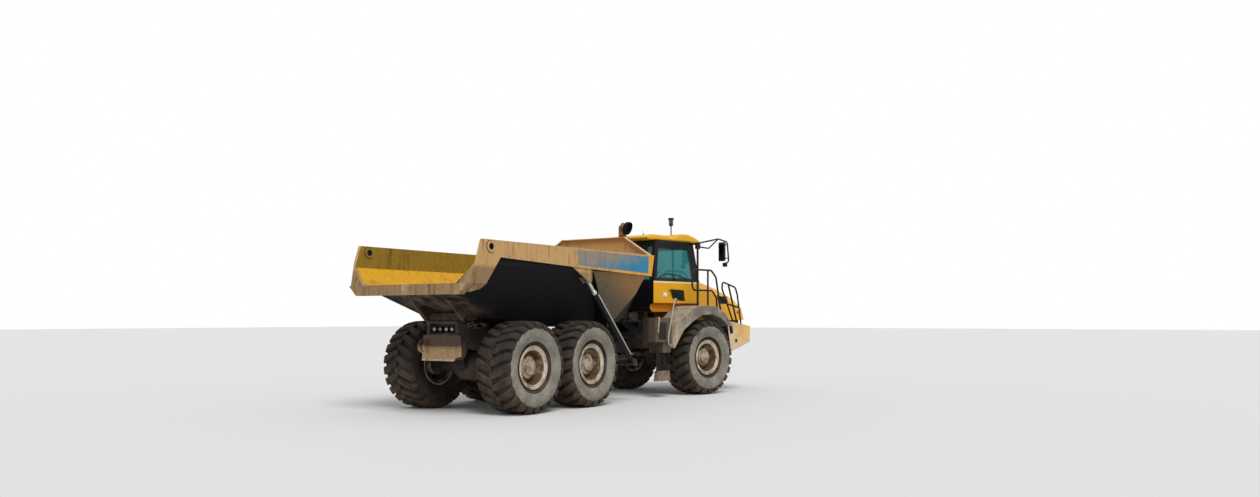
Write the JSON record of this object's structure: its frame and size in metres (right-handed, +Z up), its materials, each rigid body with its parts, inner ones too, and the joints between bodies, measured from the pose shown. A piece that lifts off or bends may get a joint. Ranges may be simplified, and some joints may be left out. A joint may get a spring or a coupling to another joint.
{
  "type": "articulated dump truck",
  "caption": "Articulated dump truck: a steered front half with cab and bonnet, a roll-and-steer hitch, and a tipping bed over a bogie with walking beams.",
  "frame": {"origin": "on the ground, under the middle of the box round the machine as it stands, with the front half turned 10.7 degrees to the right", "axes": "+X forward along the rear half, +Y to the machine's left, +Z up"},
  "size_m": [9.689, 3.4708, 3.8857],
  "materials": {
    "body_yellow": "satin",
    "bed_tan": "matte",
    "rim_cream": "matte",
    "tyre": "matte",
    "frame_dark": "matte",
    "frame_tan": "matte",
    "rod_chrome": "polished",
    "black_steel": "satin",
    "engine_grey": "matte",
    "fender_grey": "matte",
    "roof_yellow": "satin",
    "cab_glass": "gloss",
    "lamp_white": "gloss",
    "beacon_amber": "gloss",
    "interior_grey": "matte"
  },
  "bodies": {
    "rear_frame": {"rear_frame": "frame_dark", "tail_guard": "frame_tan", "tail_lamps": "lamp_white", "walking_beams": "frame_dark", "rear_axle": "frame_dark", "middle_axle": "frame_dark", "propshaft": "frame_dark"},
    "hitch": {"hitch": "frame_dark"},
    "front_frame": {"front_frame": "frame_dark", "front_axle": "frame_dark", "engine": "engine_grey", "bumper": "body_yellow", "headlamps": "lamp_white", "fenders": "fender_grey", "step_box_left": "body_yellow", "step_box_right": "body_yellow", "grab_loops": "rim_cream", "cab_shell": "body_yellow", "cab_roof": "roof_yellow", "cab_glass": "cab_glass", "cab_vent": "black_steel", "cab_interior": "interior_grey", "handrails": "black_steel", "mirrors": "black_steel", "exhaust": "black_steel", "beacon": "beacon_amber"},
    "bonnet": {"bonnet": "body_yellow", "grille": "black_steel"},
    "door": {"door": "body_yellow", "door_glass": "cab_glass"},
    "bed": {"bed": "bed_tan", "headboard": "bed_tan"},
    "wheel_rear_left": {"tyre_rear_left": "tyre", "rim_rear_left": "rim_cream"},
    "wheel_rear_right": {"tyre_rear_right": "tyre", "rim_rear_right": "rim_cream"},
    "wheel_middle_left": {"tyre_middle_left": "tyre", "rim_middle_left": "rim_cream"},
    "wheel_middle_right": {"tyre_middle_right": "tyre", "rim_middle_right": "rim_cream"},
    "wheel_front_left": {"tyre_front_left": "tyre", "rim_front_left": "rim_cream"},
    "wheel_front_right": {"tyre_front_right": "tyre", "rim_front_right": "rim_cream"},
    "hoist_barrel_left": {"hoist_barrel_left": "black_steel"},
    "hoist_sleeve_left": {"hoist_sleeve_left": "rod_chrome"},
    "hoist_rod_left": {"hoist_rod_left": "rod_chrome"},
    "steering_barrel_left": {"steering_barrel_left": "black_steel"},
    "steering_rod_left": {"steering_rod_left": "rod_chrome"},
    "hoist_barrel_right": {"hoist_barrel_right": "black_steel"},
    "hoist_sleeve_right": {"hoist_sleeve_right": "rod_chrome"},
    "hoist_rod_right": {"hoist_rod_right": "rod_chrome"},
    "steering_barrel_right": {"steering_barrel_right": "black_steel"},
    "steering_rod_right": {"steering_rod_right": "rod_chrome"}
  },
  "joints": [
    {"name": "hitch_roll", "type": "hinge", "parent": "rear_frame", "child": "hitch", "pos_m": [0.37552, 0.19754, 0.99373], "axis": [-1, 0, 0], "range_deg": [-15, 15]},
    {"name": "steering", "type": "hinge", "parent": "hitch", "child": "front_frame", "pos_m": [1.26652, 0.19754, 0.99373], "axis": [0, 0, 1], "range_deg": [-34.3, 55.7]},
    {"name": "spin_rear_left", "type": "hinge", "parent": "rear_frame", "child": "wheel_rear_left", "pos_m": [-3.22448, 1.33954, 0.79373], "axis": [0, 1, 0], "continuous": true},
    {"name": "spin_rear_right", "type": "hinge", "parent": "rear_frame", "child": "wheel_rear_right", "pos_m": [-3.22448, -0.94446, 0.79373], "axis": [0, 1, 0], "continuous": true},
    {"name": "spin_middle_left", "type": "hinge", "parent": "rear_frame", "child": "wheel_middle_left", "pos_m": [-1.55448, 1.33954, 0.79373], "axis": [0, 1, 0], "continuous": true},
    {"name": "spin_middle_right", "type": "hinge", "parent": "rear_frame", "child": "wheel_middle_right", "pos_m": [-1.55448, -0.94446, 0.79373], "axis": [0, 1, 0], "continuous": true},
    {"name": "spin_front_left", "type": "hinge", "parent": "front_frame", "child": "wheel_front_left", "pos_m": [2.81491, 1.06718, 0.79373], "axis": [0.1857, 0.9826, 0], "continuous": true},
    {"name": "spin_front_right", "type": "hinge", "parent": "front_frame", "child": "wheel_front_right", "pos_m": [2.39084, -1.17711, 0.79373], "axis": [0.1857, 0.9826, 0], "continuous": true},
    {"name": "tip", "type": "hinge", "parent": "rear_frame", "child": "bed", "pos_m": [-3.82448, 0.19754, 1.63373], "axis": [0, -1, 0], "range_deg": [0, 70]},
    {"name": "bonnet_tilt", "type": "hinge", "parent": "front_frame", "child": "bonnet", "pos_m": [4.56712, -0.42612, 1.56873], "axis": [0.1857, 0.9826, 0], "range_deg": [0, 60]},
    {"name": "door_swing", "type": "hinge", "parent": "front_frame", "child": "door", "pos_m": [1.74005, 1.09319, 2.59373], "axis": [0, 0, 1], "range_deg": [0, 80]},
    {"name": "hoist_lean_left", "type": "hinge", "parent": "rear_frame", "child": "hoist_barrel_left", "pos_m": [-0.20448, 1.56754, 0.79373], "axis": [0, -1, 0], "range_deg": [0, 5.24]},
    {"name": "hoist_stage_left", "type": "slide", "parent": "hoist_barrel_left", "child": "hoist_sleeve_left", "axis": [-0.6887, 0, 0.725], "range_m": [0, 1.2952]},
    {"name": "hoist_reach_left", "type": "slide", "parent": "hoist_sleeve_left", "child": "hoist_rod_left", "axis": [-0.6887, 0, 0.725], "range_m": [0, 1.2952]},
    {"name": "hoist_lean_right", "type": "hinge", "parent": "rear_frame", "child": "hoist_barrel_right", "pos_m": [-0.20448, -1.17246, 0.79373], "axis": [0, -1, 0], "range_deg": [0, 5.24]},
    {"name": "hoist_stage_right", "type": "slide", "parent": "hoist_barrel_right", "child": "hoist_sleeve_right", "axis": [-0.6887, 0, 0.725], "range_m": [0, 1.2952]},
    {"name": "hoist_reach_right", "type": "slide", "parent": "hoist_sleeve_right", "child": "hoist_rod_right", "axis": [-0.6887, 0, 0.725], "range_m": [0, 1.2952]},
    {"name": "steer_swing_left", "type": "hinge", "parent": "front_frame", "child": "steering_barrel_left", "pos_m": [2.00177, 0.58781, 0.87373], "axis": [0, 0, 1], "range_deg": [-1.76, 2.83]},
    {"name": "steer_reach_left", "type": "slide", "parent": "steering_barrel_left", "child": "steering_rod_left", "axis": [-0.981, -0.194, 0], "range_m": [-0.1981, 0.1222]},
    {"name": "steer_swing_right", "type": "hinge", "parent": "front_frame", "child": "steering_barrel_right", "pos_m": [1.80867, -0.4341, 0.87373], "axis": [0, 0, 1], "range_deg": [-1.76, 2.83]},
    {"name": "steer_reach_right", "type": "slide", "parent": "steering_barrel_right", "child": "steering_rod_right", "axis": [-0.8308, 0.5565, 0], "range_m": [-0.1234, 0.2001]}
  ],
  "couplings": [
    {"joint": "hoist_lean_left", "follows": "tip", "ratio": 0.074109},
    {"joint": "hoist_stage_left", "follows": "tip", "m_per_rad": 1.0585},
    {"joint": "hoist_reach_left", "follows": "tip", "m_per_rad": 1.0585},
    {"joint": "hoist_lean_right", "follows": "tip", "ratio": 0.074109},
    {"joint": "hoist_stage_right", "follows": "tip", "m_per_rad": 1.0585},
    {"joint": "hoist_reach_right", "follows": "tip", "m_per_rad": 1.0585},
    {"joint": "steer_swing_left", "follows": "steering", "ratio": 0.05},
    {"joint": "steer_reach_left", "follows": "steering", "m_per_rad": -0.2033},
    {"joint": "steer_swing_right", "follows": "steering", "ratio": 0.05},
    {"joint": "steer_reach_right", "follows": "steering", "m_per_rad": 0.2053}
  ]
}
